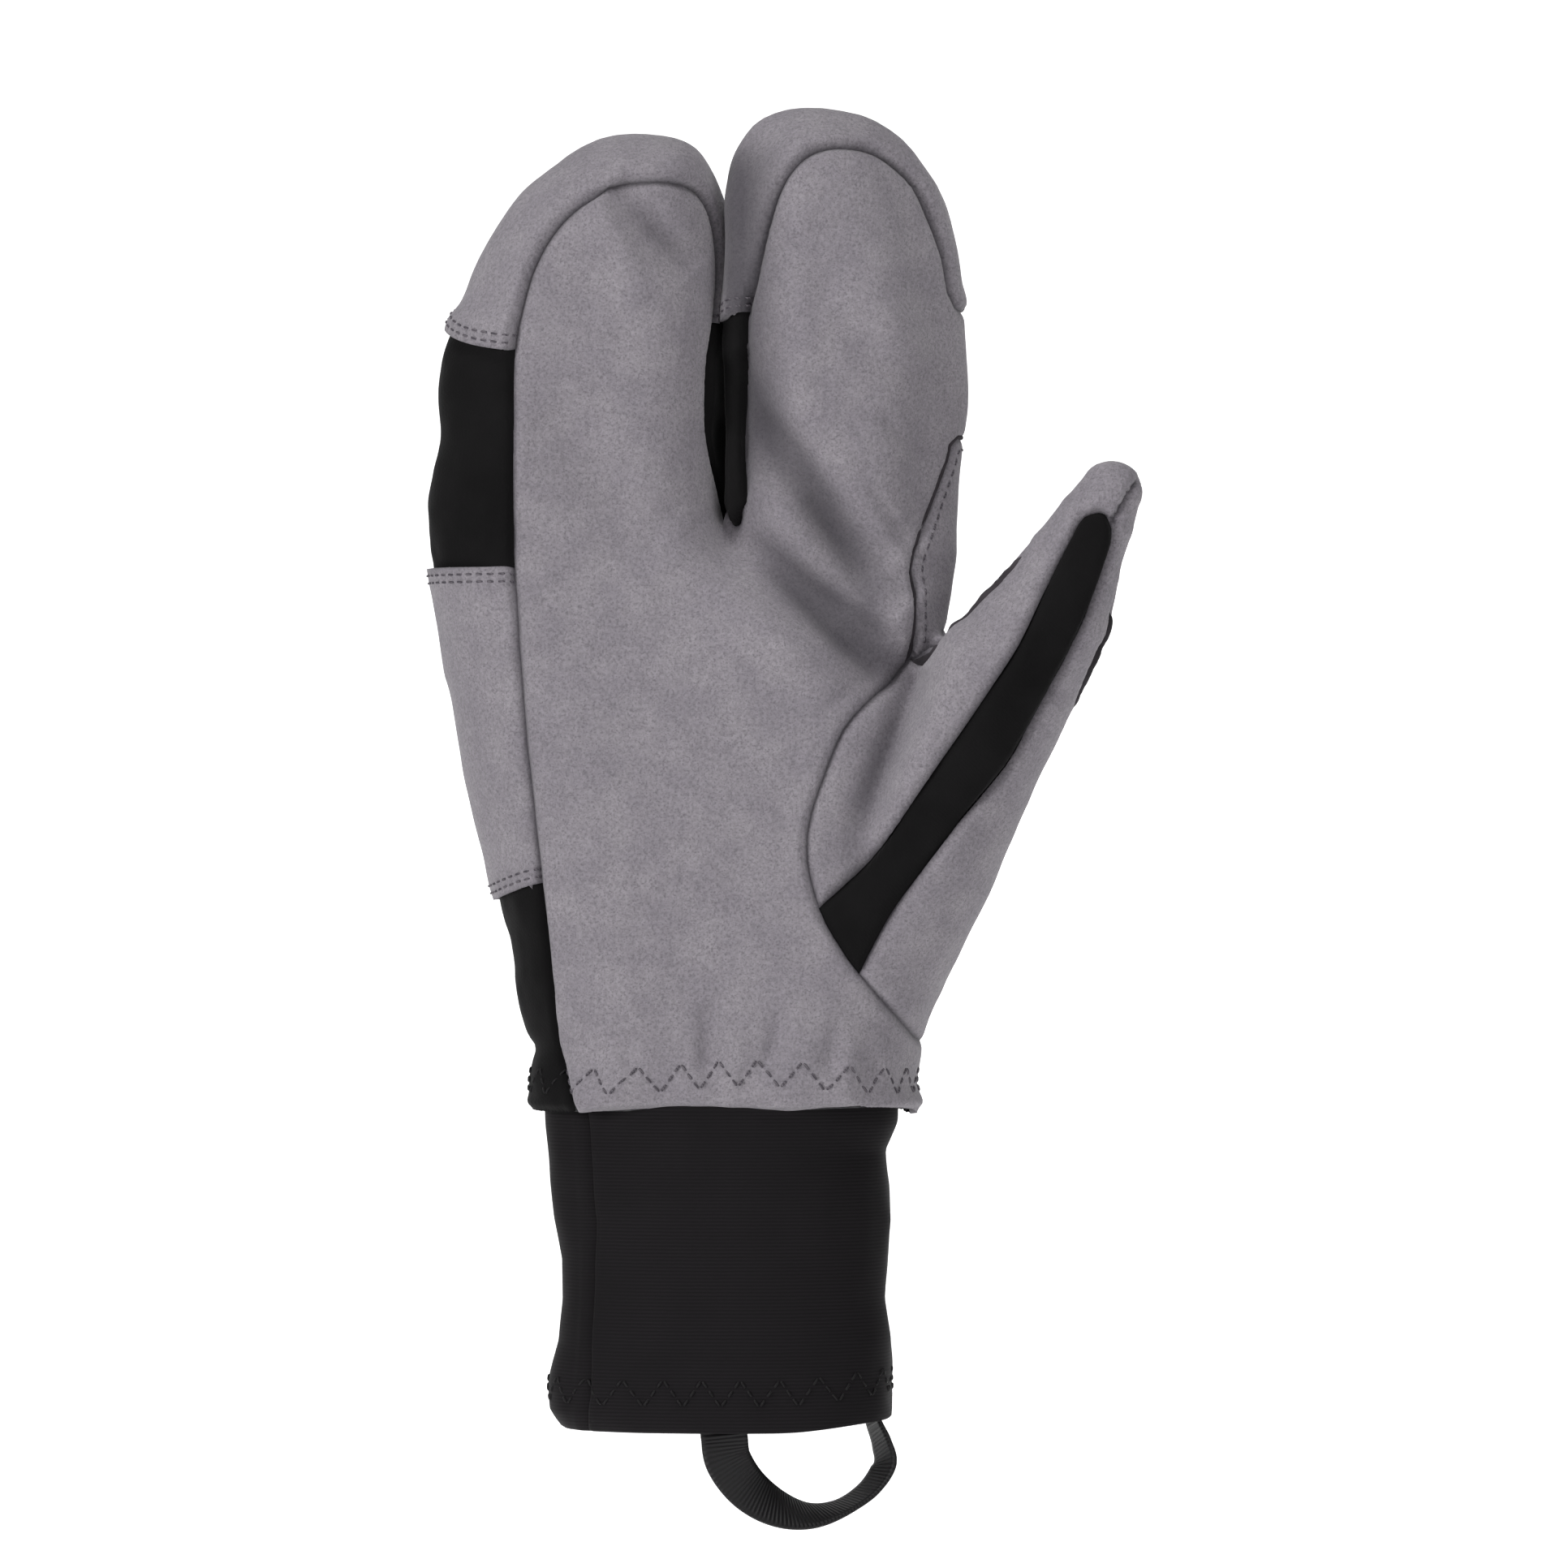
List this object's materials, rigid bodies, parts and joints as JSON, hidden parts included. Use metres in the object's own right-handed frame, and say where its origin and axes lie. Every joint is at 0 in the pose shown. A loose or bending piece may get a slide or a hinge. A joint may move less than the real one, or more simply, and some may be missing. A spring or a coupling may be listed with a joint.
{
  "type": "ski glove",
  "caption": "Right-hand lobster-style winter glove: suede palm and fingertips, stretch softshell panels, a knitted-look cuff and a hanging loop.",
  "frame": {"origin": "middle of the wrist opening, level with the lower edge of the glove's body, where the cuff joins it", "axes": "+Z towards the fingertips, -Y out of the palm, +X towards the thumb"},
  "size_m": [0.1625, 0.0634, 0.3202],
  "materials": {
    "suede": "matt nap",
    "softshell": "matt stretch weave",
    "cuff_softshell": "fine crosswise rib",
    "wadding": "loose fibre",
    "fleece": "brushed",
    "elastic": "covered elastic",
    "grey_thread": "twisted thread",
    "black_thread": "twisted thread",
    "ribbon": "grosgrain"
  },
  "bodies": {
    "palm": {"palm_panel": "suede", "index_side_panel": "suede", "hand_back_band": "suede", "wrist_back_panel": "softshell", "knuckle_bridge": "softshell", "thumb_base_inner_panel": "suede", "thumb_base_outer_panel": "suede", "thumb_base_strip": "softshell", "finger_crotch_web": "softshell", "hand_wadding": "wadding", "hand_lining": "fleece", "wrist_elastic": "elastic", "wrist_zigzag_thread": "grey_thread"},
    "ring_little": {"ring_little_palm_panel": "suede", "ring_little_tip_cap": "suede", "ring_little_fourchette": "softshell", "ring_little_knuckle_panel": "softshell", "ring_little_wadding": "wadding", "ring_little_lining": "fleece"},
    "index_middle": {"index_middle_palm_panel": "suede", "index_middle_tip_cap": "suede", "index_middle_fourchette": "softshell", "index_middle_knuckle_panel": "softshell", "index_middle_wadding": "wadding", "index_middle_lining": "fleece"},
    "thumb": {"thumb_tip_cap": "suede", "thumb_strip": "softshell", "thumb_inner_panel": "suede", "thumb_outer_panel": "suede", "thumb_wadding": "wadding", "thumb_lining": "fleece"},
    "cuff": {"cuff_front_panel": "cuff_softshell", "cuff_back_panel": "cuff_softshell", "cuff_hem_facing": "cuff_softshell", "cuff_zigzag_thread": "black_thread", "loop_sewn_ends": "ribbon"},
    "loop": {"loop_ribbon": "ribbon"}
  },
  "joints": [
    {"name": "wrist_bend", "type": "hinge", "parent": "palm", "child": "cuff", "pos_m": [0, 0, 0], "axis": [1, 0, 0], "range_deg": [-30, 30]},
    {"name": "ring_little_curl", "type": "hinge", "parent": "palm", "child": "ring_little", "pos_m": [-0.0327, -0.0212, 0.1322], "axis": [1, 0, 0], "range_deg": [0, 70]},
    {"name": "index_middle_curl", "type": "hinge", "parent": "palm", "child": "index_middle", "pos_m": [0.0286, -0.0212, 0.1322], "axis": [1, 0, 0], "range_deg": [0, 70]},
    {"name": "thumb_bend", "type": "hinge", "parent": "palm", "child": "thumb", "pos_m": [0.06383, -0.03238, 0.09499], "axis": [0.866, 0, -0.5], "range_deg": [0, 45]},
    {"name": "loop_swing", "type": "hinge", "parent": "cuff", "child": "loop", "pos_m": [0.01397, -0.01309, -0.0732], "axis": [0.9063, 0.4226, 0], "range_deg": [-60, 60]}
  ]
}
